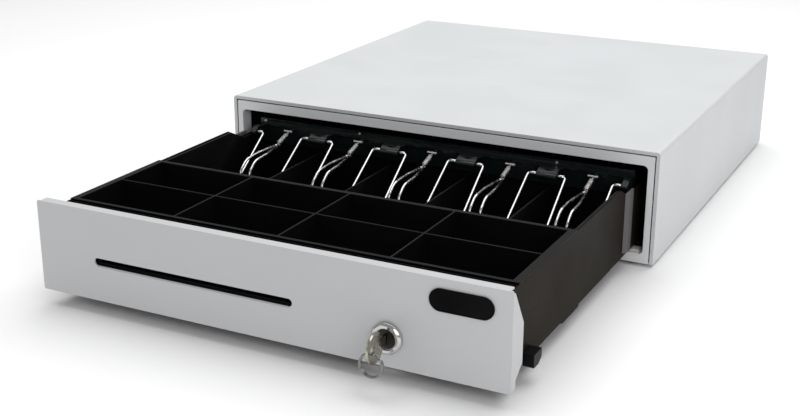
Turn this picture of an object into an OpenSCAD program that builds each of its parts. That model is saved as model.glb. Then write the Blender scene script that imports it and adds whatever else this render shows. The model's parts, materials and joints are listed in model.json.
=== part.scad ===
// Point of sale cash drawer: a steel housing, a sliding drawer on rollers, a till tray with five sprung
// note clips, a lift-out coin tray, a cam lock with its key, and an electric latch at the back.
// The drawer is drawn open against its stop. Drawer pieces are written at their closed place, where the
// face of the front panel is level with the face of the housing, and slid_out() moves them forward.

/* [Housing] */
// Overall width of the housing
housing_w = 410; // [400:1:440]
// Overall depth of the housing
housing_d = 415; // [410:1:450]
// Overall height from the table to the top of the cover
housing_h = 100; // [98:1:110]
// Thickness of the sheet steel
sheet = 1.2; // [1:0.1:1.4]
// Gap between the table and the lower edge of the cover
ground_gap = 3; // [2.5:0.1:3.5]

/* [Front frame] */
// Half of the opening's width
opening_half = 195.5; // [195.2:0.1:196]
// Lower edge of the opening
opening_low = 10.5; // [10:0.1:10.8]
// Upper edge of the opening
opening_high = 87.5; // [86.5:0.1:89]
// Depth of the frame's inner lip
frame_depth = 14; // [13:0.1:14.2]

/* [Drawer] */
// How far the drawer slides out
travel = 284; // [200:1:286]
// Width of the drawer's front panel
panel_w = 387; // [384:0.5:388]
// Lower edge of the front panel
panel_low = 12; // [11.8:0.1:12.4]
// Upper edge of the front panel
panel_high = 84; // [83:0.5:86]
// Half of the pan's outer width
pan_half = 186; // [185.5:0.1:186.4]
// Underside of the drawer pan
pan_low = 15.5; // [15.5:0.1:15.8]
// Top edge of the pan's side walls
pan_high = 77; // [75:0.5:77.5]
// Depth of the drawer pan
pan_d = 345; // [345:0.5:346]

/* [Trays] */
// Thickness of the moulded tray walls
tray_wall = 2.2; // [1.8:0.1:2.4]
// Number of note bays and of note clips
bay_count = 5; // [5:1:5]
// Number of coin cups in a row
cup_columns = 4; // [3:1:6]
// Top of the low walls between the note bays
bay_wall_top = 57; // [40:1:60]

/* [Note clips] */
// Diameter of the clip wire
wire_d = 2.4; // [2.2:0.1:3]
// Height of the clip's pivot
pivot_z = 69; // [68:0.5:70]
// Diameter of the clip's spring
clip_spring_d = 5.4; // [4.6:0.2:6]

/* [Lock] */
// Distance of the lock from the middle of the panel
lock_x = 104.5; // [60:0.5:120]
// Height of the lock's axis
lock_z = 34; // [32:0.5:36]
// Diameter of the lock's front ring
bezel_d = 23; // [21:0.5:26]
// Outer diameter of the key ring
key_ring_d = 18.5; // [18:0.5:22]

/* [Running gear] */
// Diameter of the rollers at the back of the drawer
rear_roller_d = 15.2; // [14:0.1:15.3]
// Diameter of the rollers under the front of the drawer
front_roller_d = 9.6; // [9:0.1:9.7]

/* [Hidden] */
$fn = 48;

// Colours
white_paint = [0.86, 0.87, 0.88];
grey_paint = [0.76, 0.77, 0.78];
black_paint = [0.1, 0.09, 0.08];
black_plastic = [0.05, 0.05, 0.05];
bright_steel = [0.75, 0.75, 0.76];
zinc = [0.62, 0.63, 0.62];
brass = [0.75, 0.6, 0.32];
copper = [0.7, 0.36, 0.2];

// Housing
housing_half = housing_w / 2;
hem = 3;
frame_gap = 1.1;
edge_r = 3;
flange_w = 15;
floor_low = ground_gap + sheet;
floor_high = floor_low + sheet;
inner_half = housing_half - sheet;
wall_in = inner_half - sheet;
frame_face = 2;
rear_y = housing_d - 1.6;
lip = 1.5;
foot_r = 9;
foot_x = 170;
foot_inset = 30;
fixing_x = 150;
fixing_y = [90, 330];
fixing_r = 2.25;
screw_r = 1.5;
head_r = 2.8;
head_h = 1.7;

// Channels and rear rollers
channel_low = 28;
channel_high = 46;
channel_in = wall_in - 7.2;
channel_y = [20, 400];
rear_roller_y = 335;
roller_z = (channel_low + channel_high) / 2;
rear_roller_x = channel_in + 0.4;
rear_roller_w = 5;
axle_r = 2.5;
running = 0.05;
graze = 0.03;

// Front rollers
front_roller_y = 26;
front_roller_x = 174;
front_roller_w = 8;
front_roller_z = pan_low - 0.1 - front_roller_d / 2;
front_axle_r = 1.5;

// Pan and trays
step_y = [244, 264];
step_drop = 9.5;
tab_y = [115, 153];
tab_drop = 2;
pan_back_top = 60;
tray_half = pan_half - sheet - 0.6;
tray_low = pan_low + sheet + 0.3;
tray_high = pan_high - 0.6;
tray_y = [27.5, 301];
cross_y = [139, 141];
bay_floor = tray_low + tray_wall;
bay_in = tray_half - tray_wall;
bay_pitch = 2 * bay_in / bay_count + 1.4;
bay_wall = 1.8;
rim = 1.2;
coin_half = bay_in - 0.4;
coin_y = [30.2, 138.4];
rim_low = pan_high;
cup_wall = 1.6;
cup_d = (coin_y[1] - coin_y[0] - 3 * cup_wall) / 2;
cup_w = (2 * coin_half - (cup_columns + 1) * cup_wall) / cup_columns;
cup_centre_z = 61;

// Note clips
wire_r = wire_d / 2;
pivot_y = 277.5;
leg_x = 20.5;
knuckle_x = 28.2;
stub_end = 30.4;
sleeve_r = 1.85;
rail_y = [293.5, tray_y[1] - tray_wall];
rail_high = pivot_z + 5.6;
rail_top = 79;
rail_screw_x = [-176, -76, 114];
anchor_y = pivot_y + 11;
hairpin_y = 267;
hairpin_z = pivot_z - 7;
foot_y = pivot_y - 70;

// Front panel
panel_half = panel_w / 2;
fold = 8;
slot_x = -56;
slot_len = 172;
slot_h = 6.2;
slot_z = 43.6;
badge_x = 158;
badge_z = 69;
badge_w = 46;
badge_h = 16;
badge_t = 1.5;

// Lock and key
bezel_h = 4.5;
body_r = 9;
body_back = 16;
plug_r = 7.2;
cam_t = 2;
cam_len = 26;
blade_t = 1.8;
blade_h = 7.4;
bow_r = 11;
bow_y = -19;
bow_t = 2;
hole_y = -23.8;
hole_r = 3.5;
ring_wire_r = 0.8;
ring_hang = 1.9;
ring_r = key_ring_d / 2 - ring_wire_r;
ring_top_z = lock_z - ring_hang;

// Latch, solenoid, ejector and switch
strike_y = pan_d + 1.5;
strike_pin_y = pan_d + 11;
lever_pivot = [6, 394];
lever_z = 34.5;
lever_t = 5;
stud = [10, 372];
stud_r = 1.5;
plunger_r = 4;
plunger_z = 43;
solenoid_x = [34, 70];
deck_z = 28;
deck_t = 1.5;
ejector_x = -62;
ejector_z = 34;
ejector_r = 4;
ejector_tip = pan_d + 0.3;
guide_y = [372, 390];
switch_x = -105;
socket_x = -140;
socket_w = 16;
socket_h = 14;
port_w = 10;
port_h = 7;
board_z = 17;

// The origin is under the middle of the whole object with its drawer open and its key in the lock
front_y = -(housing_d - (travel - (bow_y - bow_r))) / 2;

module slid_out() {
    translate([0, front_y - travel, 0])
        children();
}

module in_housing() {
    translate([0, front_y, 0])
        children();
}

module both_sides() {
    children();
    mirror([1, 0, 0])
        children();
}

// A box from its lowest to its highest corner
module block(low, high) {
    translate(low)
        cube(high - low);
}

// An outline in Y and Z, made solid from x0 to x1
module side_shape(x0, x1) {
    translate([x0, 0, 0])
        rotate([90, 0, 90])
            linear_extrude(x1 - x0)
                children();
}

// An outline in X and Z, made solid from y0 to y1
module face_shape(y0, y1) {
    translate([0, y1, 0])
        rotate([90, 0, 0])
            linear_extrude(y1 - y0)
                children();
}

module rod_x(r, x0, x1, y, z) {
    translate([x0, y, z])
        rotate([0, 90, 0])
            cylinder(r = r, h = x1 - x0);
}

module rod_y(r, y0, y1, x, z) {
    translate([x, y0, z])
        rotate([-90, 0, 0])
            cylinder(r = r, h = y1 - y0);
}

module rod_z(r, z0, z1, x, y) {
    translate([x, y, z0])
        cylinder(r = r, h = z1 - z0);
}

// A straight wire between two points with a round end at the first. The round ends are a hair
// larger than the wire, so that no two surfaces only graze each other.
module wire(a, b, r) {
    v = b - a;
    reach = norm(v);
    translate(a) {
        sphere(r + graze);
        rotate([0, acos(v[2] / reach), atan2(v[1], v[0])])
            cylinder(r = r, h = reach);
    }
}

module wire_path(points, r) {
    for (i = [0 : len(points) - 2])
        wire(points[i], points[i + 1], r);
    translate(points[len(points) - 1])
        sphere(r + graze);
}

// A rectangle in X and Z with rounded corners
module rounded(x0, x1, z0, z1, r) {
    translate([x0 + r, z0])
        square([x1 - x0 - 2 * r, z1 - z0]);
    translate([x0, z0 + r])
        square([x1 - x0, z1 - z0 - 2 * r]);
    for (x = [x0 + r, x1 - r], z = [z0 + r, z1 - r])
        translate([x, z])
            circle(r);
}

// The cover's outline seen from the front: round top corners and an open bottom
module cover_outline(grow, r) {
    half = housing_half - grow;
    top = housing_h - grow;
    translate([-half, ground_gap])
        square([2 * half, top - r - ground_gap]);
    translate([-half + r, ground_gap])
        square([2 * half - 2 * r, top - ground_gap]);
    for (side = [-1, 1])
        translate([side * (half - r), top - r])
            circle(r);
}

module pan_head(r, h) {
    cylinder(r = r, h = h * 0.5);
    translate([0, 0, h * 0.5])
        cylinder(r1 = r, r2 = r * 0.72, h = h * 0.5);
}

module top_cover() {
    color(white_paint)
        in_housing() {
            difference() {
                face_shape(0, housing_d)
                    cover_outline(0, edge_r);
                translate([0, sheet, 0])
                    face_shape(0, housing_d)
                        difference() {
                            cover_outline(sheet, edge_r - sheet);
                            translate([-housing_half, 0])
                                square([2 * housing_half, ground_gap]);
                        }
                block([-housing_half + hem, -1, 0], [housing_half - hem, sheet + 1, housing_h - hem]);
                block([-inner_half, -1, 0], [inner_half, housing_d + 1, ground_gap + 0.01]);
            }
            both_sides()
                difference() {
                    block([housing_half - flange_w, frame_face, ground_gap],
                        [inner_half, housing_d - 1, floor_low]);
                    cover_holes();
                }
        }
}

cover_screw_y = [40, 210, 380];
cover_screw_x = housing_half - 8;
rear_screw_x = wall_in - 7;
rear_screw_z = [20, 85];
channel_screw_y = [60, 210, 360];

module cover_holes() {
    for (y = cover_screw_y)
        rod_z(screw_r + 0.1, ground_gap - 1, floor_high + 1, cover_screw_x, y);
}

module channel_holes() {
    for (y = channel_screw_y)
        rod_x(screw_r + 0.1, channel_in, housing_half - sheet, y, roller_z);
}

module chassis() {
    color(zinc)
        in_housing() {
            difference() {
                union() {
                    block([-inner_half, frame_face, floor_low], [inner_half, rear_y, floor_high]);
                    both_sides()
                        block([wall_in, frame_face, floor_low],
                            [inner_half, rear_y, housing_h - edge_r - 0.4]);
                }
                both_sides() {
                    cover_holes();
                    channel_holes();
                    for (y = fixing_y)
                        rod_z(fixing_r, floor_low - 1, floor_high + 1, fixing_x, y);
                }
                for (x = [-24, 68], y = [368, 402])
                    rod_z(screw_r + 0.1, floor_low - 1, floor_high + 1, x, y);
            }
            both_sides()
                for (z = rear_screw_z)
                    difference() {
                        block([wall_in - 13, rear_y - sheet, z - 6], [wall_in, rear_y, z + 6]);
                        rod_y(screw_r + 0.1, rear_y - 3, rear_y + 1, rear_screw_x, z);
                    }
            both_sides()
                for (x = [front_roller_x - 2, front_roller_x + front_roller_w + 0.5])
                    difference() {
                        block([x, front_roller_y - 4, floor_high],
                            [x + 1.5, front_roller_y + 4, front_roller_z + 3]);
                        rod_x(front_axle_r, x - 1, x + 3, front_roller_y, front_roller_z);
                    }
        }
}

module front_frame() {
    color(grey_paint)
        in_housing() {
            half = housing_half - hem - frame_gap;
            face_shape(0, frame_face)
                difference() {
                    rounded(-half, half, ground_gap, housing_h - hem - frame_gap, 1);
                    opening(0);
                }
            face_shape(frame_face, frame_depth)
                difference() {
                    opening(lip);
                    opening(0);
                }
        }
}

module opening(grow) {
    rounded(-opening_half - grow, opening_half + grow, opening_low - grow, opening_high + grow, 4 + grow);
}

module rear_panel() {
    color(white_paint)
        in_housing() {
            difference() {
                face_shape(rear_y, housing_d - 0.4)
                    rounded(-inner_half + 0.2, inner_half - 0.2, floor_low, housing_h - sheet - 0.05, edge_r - sheet);
                block([socket_x - socket_w / 2 - 0.3, housing_d - 3, board_z + 1.6 - 0.3],
                    [socket_x + socket_w / 2 + 0.3, housing_d, board_z + 1.6 + socket_h + 0.3]);
                for (x = [-rear_screw_x, rear_screw_x], z = rear_screw_z)
                    rod_y(screw_r + 0.1, rear_y - 1, housing_d, x, z);
            }
            block([-wall_in + 6, housing_d - 15, housing_h - 2 * sheet], [wall_in - 6, rear_y, housing_h - sheet - 0.05]);
        }
}

module rubber_feet() {
    color(black_plastic)
        in_housing()
            for (x = [-foot_x, foot_x], y = [foot_inset, housing_d - foot_inset])
                translate([x, y, 0]) {
                    cylinder(r1 = foot_r - 1, r2 = foot_r, h = floor_low * 0.6);
                    translate([0, 0, floor_low * 0.6])
                        cylinder(r = foot_r, h = floor_low * 0.4);
                }
}

module cover_screws() {
    color(bright_steel)
        in_housing() {
            both_sides()
                for (y = cover_screw_y) {
                    translate([cover_screw_x, y, ground_gap])
                        rotate([180, 0, 0])
                            pan_head(head_r, head_h);
                    rod_z(screw_r, ground_gap - 0.01, floor_high + 2, cover_screw_x, y);
                }
            for (x = [-rear_screw_x, rear_screw_x], z = rear_screw_z) {
                rod_y(screw_r, rear_y - 5, housing_d - 0.4, x, z);
                rod_y(head_r, housing_d - 0.4, housing_d, x, z);
            }
        }
}

// Screws that hold the channels and the latch unit
module chassis_screws() {
    color(bright_steel)
        in_housing() {
            both_sides()
                for (y = channel_screw_y)
                    rod_x(screw_r, wall_in - sheet, inner_half, y, roller_z);
            for (x = [-24, 68], y = [368, 402]) {
                rod_z(screw_r, floor_low - 1, floor_high + deck_t + 0.5, x, y);
                translate([x, y, floor_high + deck_t])
                    pan_head(head_r, head_h);
            }
        }
}

module channel() {
    in_housing()
        difference() {
            union() {
                block([wall_in - sheet, channel_y[0], channel_low], [wall_in, channel_y[1], channel_high]);
                for (z = [channel_low, channel_high - sheet])
                    block([channel_in, channel_y[0], z], [wall_in, channel_y[1], z + sheet]);
            }
            channel_holes();
        }
}

module left_channel() {
    color(zinc)
        mirror([1, 0, 0])
            channel();
}

module right_channel() {
    color(zinc)
        channel();
}

// Rubber stops in the channels that meet the rear rollers when the drawer is open
module slide_stops() {
    stop_y = rear_roller_y - travel - rear_roller_d / 2 - 0.3;
    color(black_plastic)
        in_housing()
            both_sides()
                block([channel_in + 0.4, stop_y - 6, channel_low + sheet],
                    [wall_in - sheet, stop_y, channel_high - sheet]);
}

module glide_pads() {
    color(white_paint)
        in_housing()
            both_sides()
                side_shape(181.8, 191.6)
                    polygon([[0.3, opening_low], [13.4, opening_low], [12.4, opening_low + 2.5],
                        [4, opening_low + 2.5], [2.4, opening_low + 1.1], [0.3, opening_low + 0.9]]);
}

module front_roller() {
    in_housing()
        difference() {
            rod_x(front_roller_d / 2, front_roller_x, front_roller_x + front_roller_w,
                front_roller_y, front_roller_z);
            rod_x(front_axle_r + running, front_roller_x - 1, front_roller_x + front_roller_w + 1,
                front_roller_y, front_roller_z);
        }
}

module front_roller_left() {
    color("whitesmoke")
        mirror([1, 0, 0])
            front_roller();
}

module front_roller_right() {
    color("whitesmoke")
        front_roller();
}

module front_axles() {
    color(bright_steel)
        in_housing()
            both_sides() {
                rod_x(front_axle_r, front_roller_x - 2, front_roller_x + front_roller_w + 2,
                    front_roller_y, front_roller_z);
                rod_x(front_axle_r + 0.8, front_roller_x + front_roller_w + 2,
                    front_roller_x + front_roller_w + 2.6, front_roller_y, front_roller_z);
            }
}

// A deck on two legs that carries the latch lever and the solenoid
module latch_bracket() {
    color(zinc)
        in_housing()
            difference() {
                union() {
                    block([-30, 364, deck_z], [76, 408, deck_z + deck_t]);
                    block([-30, 379, deck_z], [-28.5, 389, lever_z + 8]);
                    for (x = [-30, 76 - deck_t])
                        block([x, 364, floor_high], [x + deck_t, 408, deck_z + deck_t]);
                    block([-30, 364, floor_high], [-16, 408, floor_high + deck_t]);
                    block([60, 364, floor_high], [76, 408, floor_high + deck_t]);
                }
                rod_z(axle_r + running, deck_z - 1, deck_z + deck_t + 1, lever_pivot[0], lever_pivot[1]);
                for (x = [-24, 68], y = [368, 402])
                    rod_z(screw_r + 0.1, floor_high - 1, floor_high + deck_t + 1, x, y);
            }
}

module latch_lever() {
    color(bright_steel)
        in_housing() {
            translate([0, 0, lever_z])
                difference() {
                    linear_extrude(lever_t)
                        union() {
                            polygon([[-4, 348.4], [11, 348.4], [13.5, 372], [11.8, 394], [0.2, 394],
                                [4.4, 374], [4.4, 352.6], [-4, 352.6]]);
                            translate(lever_pivot)
                                circle(5.8);
                        }
                    translate([lever_pivot[0], lever_pivot[1], -1])
                        cylinder(r = axle_r + running, h = lever_t + 2);
                }
            rod_z(stud_r, lever_z + lever_t, plunger_z + 2, stud[0], stud[1]);
        }
}

module latch_pin() {
    color(bright_steel)
        in_housing() {
            rod_z(axle_r, deck_z, lever_z + lever_t + 1.2, lever_pivot[0], lever_pivot[1]);
            rod_z(4.5, deck_z + deck_t, lever_z - 0.1, lever_pivot[0], lever_pivot[1]);
            rod_z(4.5, lever_z + lever_t + 0.2, lever_z + lever_t + 1.2, lever_pivot[0], lever_pivot[1]);
        }
}

// Extension spring that draws the lever back over the strike
module latch_spring() {
    color(bright_steel)
        in_housing()
            difference() {
                rod_x(2.5, -28.5, 1.6, 384, lever_z + 2.5);
                rod_x(1.8, -30, 3, 384, lever_z + 2.5);
            }
}

module solenoid_frame() {
    color(zinc)
        in_housing()
            difference() {
                union() {
                    block([solenoid_x[0], 360, deck_z + deck_t], [solenoid_x[1], 384, deck_z + deck_t + 1.5]);
                    for (x = [solenoid_x[0], solenoid_x[1] - 1.5])
                        block([x, 360, deck_z + deck_t], [x + 1.5, 384, plunger_z + 12]);
                }
                rod_x(plunger_r + 0.6, solenoid_x[0] - 1, solenoid_x[0] + 3, stud[1], plunger_z);
            }
}

module solenoid_coil() {
    color(copper)
        in_housing()
            difference() {
                union() {
                    rod_x(10, solenoid_x[0] + 1.5, solenoid_x[1] - 1.5, stud[1], plunger_z);
                    for (x = [solenoid_x[0] + 1.5, solenoid_x[1] - 3])
                        rod_x(11.5, x, x + 1.5, stud[1], plunger_z);
                }
                rod_x(plunger_r + running, solenoid_x[0], solenoid_x[1] - 4, stud[1], plunger_z);
            }
}

module solenoid_plunger() {
    color(bright_steel)
        in_housing()
            difference() {
                union() {
                    rod_x(plunger_r, 20, solenoid_x[1] - 11, stud[1], plunger_z);
                    block([5, stud[1] - 4.5, lever_z + lever_t + 0.6], [22, stud[1] + 4.5, plunger_z + 0.6]);
                }
                block([stud[0] - stud_r - 0.3, stud[1] - 2.2, lever_z], [stud[0] + stud_r + 0.3, stud[1] + 3.2, 60]);
            }
}

module ejector_guide() {
    color(zinc)
        in_housing()
            difference() {
                union() {
                    block([ejector_x - 9, guide_y[0], floor_high], [ejector_x + 9, guide_y[1], ejector_z + 8]);
                    block([ejector_x - 18, guide_y[0], floor_high], [ejector_x + 18, guide_y[1], floor_high + 3]);
                }
                rod_y(ejector_r + running, guide_y[0] - 1, guide_y[1] + 1, ejector_x, ejector_z);
            }
}

module ejector_pusher() {
    color(black_plastic)
        in_housing() {
            rod_y(ejector_r, ejector_tip, housing_d - 5, ejector_x, ejector_z);
            rod_y(8, ejector_tip, ejector_tip + 3, ejector_x, ejector_z);
        }
}

module ejector_spring() {
    color(bright_steel)
        in_housing()
            difference() {
                rod_y(6.6, ejector_tip + 3, guide_y[0], ejector_x, ejector_z);
                rod_y(5, ejector_tip + 2, guide_y[0] + 1, ejector_x, ejector_z);
            }
}

module status_switch() {
    color(black_plastic)
        in_housing()
            difference() {
                union() {
                    block([switch_x - 10, pan_d + 2.5, 25], [switch_x + 10, pan_d + 12.5, 35]);
                    block([switch_x - 10, pan_d + 12.5, floor_high], [switch_x + 10, pan_d + 14, 35]);
                    block([switch_x - 10, pan_d + 12.5, floor_high], [switch_x + 10, pan_d + 26, floor_high + 1.5]);
                }
                block([switch_x - 4.3, pan_d + 2, 27.8], [switch_x - 0.7, pan_d + 6.5, 32.2]);
            }
}

module switch_button() {
    color("firebrick")
        in_housing()
            block([switch_x - 4, pan_d + 0.4, 28], [switch_x - 1, pan_d + 6, 32]);
}

module socket_board() {
    color("darkgreen")
        in_housing()
            difference() {
                block([socket_x - 25, housing_d - 35, board_z], [socket_x + 25, housing_d - 2.4, board_z + 1.6]);
                for (x = [-21, 21])
                    rod_z(1.6, board_z - 1, board_z + 3, socket_x + x, housing_d - 30);
            }
    color(black_plastic)
        in_housing()
            for (x = [-21, 21], y = [10, 30])
                rod_z(y > 20 ? 3 : 2.5, floor_high, board_z, socket_x + x, housing_d - y);
}

module cable_socket() {
    color(black_plastic)
        in_housing()
            difference() {
                block([socket_x - socket_w / 2, housing_d - 18, board_z + 1.6],
                    [socket_x + socket_w / 2, housing_d - 0.4, board_z + 1.6 + socket_h]);
                block([socket_x - port_w / 2, housing_d - 14, board_z + 5],
                    [socket_x + port_w / 2, housing_d, board_z + 5 + port_h]);
                block([socket_x - 2, housing_d - 14, board_z + 5 + port_h - 0.1],
                    [socket_x + 2, housing_d, board_z + 7 + port_h]);
            }
}

module pan_side_outline(top) {
    polygon([[sheet, pan_low], [tab_y[0], pan_low], [tab_y[0] + 2, pan_low - tab_drop],
        [tab_y[1] - 2, pan_low - tab_drop], [tab_y[1], pan_low], [pan_d, pan_low],
        [pan_d, top - step_drop], [step_y[1], top - step_drop], [step_y[0], top], [sheet, top]]);
}

module drawer_pan() {
    color(black_paint)
        slid_out()
            difference() {
                union() {
                    both_sides()
                        side_shape(pan_half - sheet, pan_half)
                            pan_side_outline(pan_high);
                    block([-pan_half, sheet, pan_low], [pan_half, pan_d, pan_low + sheet]);
                    block([-pan_half, sheet, pan_low], [pan_half, 2 * sheet, pan_high]);
                    block([-pan_half, pan_d - sheet, pan_low], [pan_half, pan_d, pan_back_top]);
                }
                face_shape(0, 3)
                    slot_outline(0);
                rod_y(body_r + 0.1, 0, 4, lock_x, lock_z);
                block([lock_x - cam_len, body_back - 1.5, pan_low - 1], [lock_x + 5, body_back + 4.5, pan_low + 3]);
                both_sides() {
                    rod_x(axle_r + running, pan_half - 3, pan_half + 1, rear_roller_y, roller_z);
                }
                for (x = [-16, 16])
                    rod_y(screw_r + 0.1, pan_d - 3, pan_d + 1, x, 48);
                for (x = [-165, 0, 165], z = [24, 70])
                    rod_y(screw_r + 0.1, 0, 4, x, z);
            }
}

// A bar with half-round ends, seen from the front
module capsule(x, z, w, h) {
    translate([x, z]) {
        square([w - h, h], center = true);
        for (side = [-1, 1])
            translate([side * (w - h) / 2, 0])
                circle(h / 2);
    }
}

module slot_outline(shrink) {
    capsule(slot_x, slot_z, slot_len - 2 * shrink, slot_h - 2 * shrink);
}

module front_panel() {
    color(grey_paint)
        slid_out() {
            difference() {
                face_shape(0, sheet)
                    rounded(-panel_half, panel_half, panel_low, panel_high, 1.5);
                face_shape(-1, 3)
                    slot_outline(0);
                side_shape(slot_x - slot_len / 2 + 2.5, slot_x + slot_len / 2 - 2.5)
                    polygon([[-0.1, slot_z - slot_h / 2 - 1.1], [sheet + 0.1, slot_z - slot_h / 2],
                        [sheet + 0.1, slot_z], [-0.1, slot_z]]);
                rod_y(body_r + 0.1, -1, 3, lock_x, lock_z);
            }
            block([-panel_half + 3, 0.5, panel_high - sheet], [panel_half - 3, fold, panel_high]);
            block([-178, 0.5, panel_low], [178, fold, panel_low + sheet]);
            both_sides()
                side_shape(panel_half - sheet, panel_half)
                    polygon([[0.5, 12.6], [8, 12.6], [8, 19], [19, 27], [19, 56], [3, 82], [0.5, 82]]);
        }
}

// Weld studs and nuts behind the panel, the strike's screws and the rail's screws
module drawer_screws() {
    color(bright_steel)
        slid_out() {
            for (x = [-165, 0, 165], z = [24, 70]) {
                rod_y(screw_r, sheet, 8, x, z);
                rod_y(head_r, 2 * sheet, 2 * sheet + 2, x, z);
            }
            for (x = rail_screw_x) {
                rod_y(1, rail_y[0], rail_y[1] - 0.8, x, rail_top - 2.4);
                rod_y(1.5, rail_y[0] - 1, rail_y[0], x, rail_top - 2.4);
            }
            for (x = [-16, 16]) {
                rod_y(screw_r, pan_d - 4, strike_y, x, 48);
                rod_y(head_r, strike_y, strike_y + 1.6, x, 48);
            }
        }
}

module badge() {
    color(black_plastic)
        slid_out() {
            face_shape(-badge_t, 0)
                difference() {
                    pill(0);
                    pill(0.9);
                }
            face_shape(-badge_t + 0.4, 0)
                pill(0.9);
        }
}

module pill(shrink) {
    capsule(badge_x, badge_z, badge_w - 2 * shrink, badge_h - 2 * shrink);
}

module slot_liner() {
    color(black_plastic)
        slid_out() {
            face_shape(sheet + 0.05, 6)
                difference() {
                    slot_outline(0.02);
                    slot_outline(0.6);
                }
            face_shape(2 * sheet, 2 * sheet + 1)
                difference() {
                    rounded(slot_x - slot_len / 2 - 3, slot_x + slot_len / 2 + 3, slot_z - 6, slot_z + 6, 2);
                    slot_outline(0.02);
                }
        }
}

// Plate with two ears and a post, which the latch hooks in front of
module strike() {
    color(bright_steel)
        slid_out() {
            difference() {
                block([-22, pan_d, 22], [22, strike_y, 54]);
                for (x = [-16, 16])
                    rod_y(screw_r + 0.1, pan_d - 1, strike_y + 1, x, 48);
            }
            for (z = [29.9, 42.6])
                block([-8, strike_y, z], [3.4, strike_pin_y + 5, z + 2]);
            rod_z(3, 31.9, 42.6, 0, strike_pin_y);
        }
}

module guide_blocks() {
    color(black_plastic)
        slid_out()
            both_sides()
                side_shape(pan_half, 194.3)
                    polygon([[40, 13.4], [48, 13.4], [54, 17], [54, 23.5], [39, 23.5], [39, 14.4]]);
}

// Folded strips up the outside of the walls, behind the step
module wall_stiffeners() {
    color(bright_steel)
        slid_out()
            both_sides()
                translate([0, 0, 19])
                    linear_extrude(51.5)
                        polygon([[pan_half, 257.5], [pan_half + 2.2, 260], [pan_half + 2.2, 273],
                            [pan_half, 275.5]]);
}

module rear_roller() {
    slid_out()
        difference() {
            union() {
                rod_x(rear_roller_d / 2, rear_roller_x, rear_roller_x + rear_roller_w, rear_roller_y, roller_z);
                rod_x(4.5, rear_roller_x - 1.5, rear_roller_x, rear_roller_y, roller_z);
            }
            rod_x(axle_r + running, rear_roller_x - 3, rear_roller_x + 8, rear_roller_y, roller_z);
        }
}

module rear_roller_left() {
    color("whitesmoke")
        mirror([1, 0, 0])
            rear_roller();
}

module rear_roller_right() {
    color("whitesmoke")
        rear_roller();
}

module rear_axles() {
    color(bright_steel)
        slid_out()
            both_sides() {
                rod_x(axle_r, pan_half - sheet, rear_roller_x + rear_roller_w + 0.3, rear_roller_y, roller_z);
                rod_x(axle_r + 1.5, pan_half, rear_roller_x - 1.7, rear_roller_y, roller_z);
                rod_x(axle_r + 1, pan_half - sheet - 0.5, pan_half - sheet, rear_roller_y, roller_z);
            }
}

// Tray outline from the side, which follows the pan's stepped side walls
module tray_side_outline() {
    polygon([[tray_y[0], tray_low], [tray_y[1], tray_low], [tray_y[1], tray_high - step_drop],
        [step_y[1], tray_high - step_drop], [step_y[0], tray_high], [tray_y[0], tray_high]]);
}

module till_tray() {
    color(black_plastic)
        slid_out() {
            difference() {
                side_shape(-tray_half, tray_half)
                    tray_side_outline();
                block([-bay_in, tray_y[0] + tray_wall, bay_floor], [bay_in, cross_y[0], 100]);
                for (i = [0 : bay_count - 1])
                    bay(i, bay_floor);
                block([-bay_in, cross_y[1], bay_wall_top], [bay_in, tray_y[1] - tray_wall, 100]);
            }
        }
}

module bay(i, low) {
    x0 = max(-bay_in, clip_x(i) - (bay_pitch - bay_wall) / 2);
    x1 = min(bay_in, clip_x(i) + (bay_pitch - bay_wall) / 2);
    block([x0, cross_y[1], low], [x1, tray_y[1] - tray_wall, 100]);
}

// Section of a row of coin cups: a straight mouth over a half-round bottom
module cup_section(y0, grow) {
    r = cup_d / 2;
    translate([y0 + r, cup_centre_z])
        circle(r + grow);
    translate([y0 - grow, cup_centre_z])
        square([cup_d + 2 * grow, rim_low + rim - cup_centre_z]);
}

module coin_tray() {
    rows = [coin_y[0] + cup_wall, coin_y[0] + 2 * cup_wall + cup_d];
    color(black_plastic)
        slid_out()
            difference() {
                union() {
                    side_shape(-coin_half, coin_half)
                        intersection() {
                            union() {
                                for (y0 = rows)
                                    cup_section(y0, cup_wall);
                            }
                            translate([coin_y[0], 0])
                                square([coin_y[1] - coin_y[0], rim_low + rim]);
                        }
                    block([-pan_half, coin_y[0] - 1.6, rim_low], [pan_half, coin_y[1] + 2.6, rim_low + rim]);
                }
                for (i = [0 : cup_columns - 1], y0 = rows)
                    side_shape(cup_x(i), cup_x(i) + cup_w)
                        cup_mouth(y0);
            }
}

function cup_x(i) = -coin_half + cup_wall + i * (cup_w + cup_wall);

module cup_mouth(y0) {
    cup_section(y0, 0);
    translate([y0, rim_low])
        square([cup_d, rim + 1]);
}

// Bar across the back of the tray: an upright leg, a scalloped shelf, and a knuckle between each two clips
module clip_rail() {
    half = bay_in - 0.3;
    color(black_plastic)
        slid_out()
            difference() {
                union() {
                    block([-half, rail_y[0], bay_wall_top], [half, rail_y[1], rail_top]);
                    translate([0, 0, rail_high - 1.4])
                        linear_extrude(1.4)
                            intersection() {
                                union() {
                                    translate([-half, anchor_y + 2])
                                        square([2 * half, 6]);
                                    for (i = [0 : bay_count])
                                        translate([clip_x(i) - bay_pitch / 2, anchor_y + 3])
                                            circle(12);
                                }
                                translate([-half, pivot_y])
                                    square([2 * half, rail_y[1] - pivot_y]);
                            }
                    for (i = [0 : bay_count])
                        knuckle(i);
                }
                for (i = [0 : bay_count - 1])
                    translate([clip_x(i), 0, 0])
                        both_sides()
                            rod_x(wire_r + running, knuckle_x - 1, stub_end + 0.3, pivot_y, pivot_z);
                for (x = rail_screw_x)
                    rod_y(1.1, rail_y[0] - 1, rail_y[1] - 0.6, x, rail_top - 2.4);
            }
}

function clip_x(i) = (i - (bay_count - 1) / 2) * bay_pitch;

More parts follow.
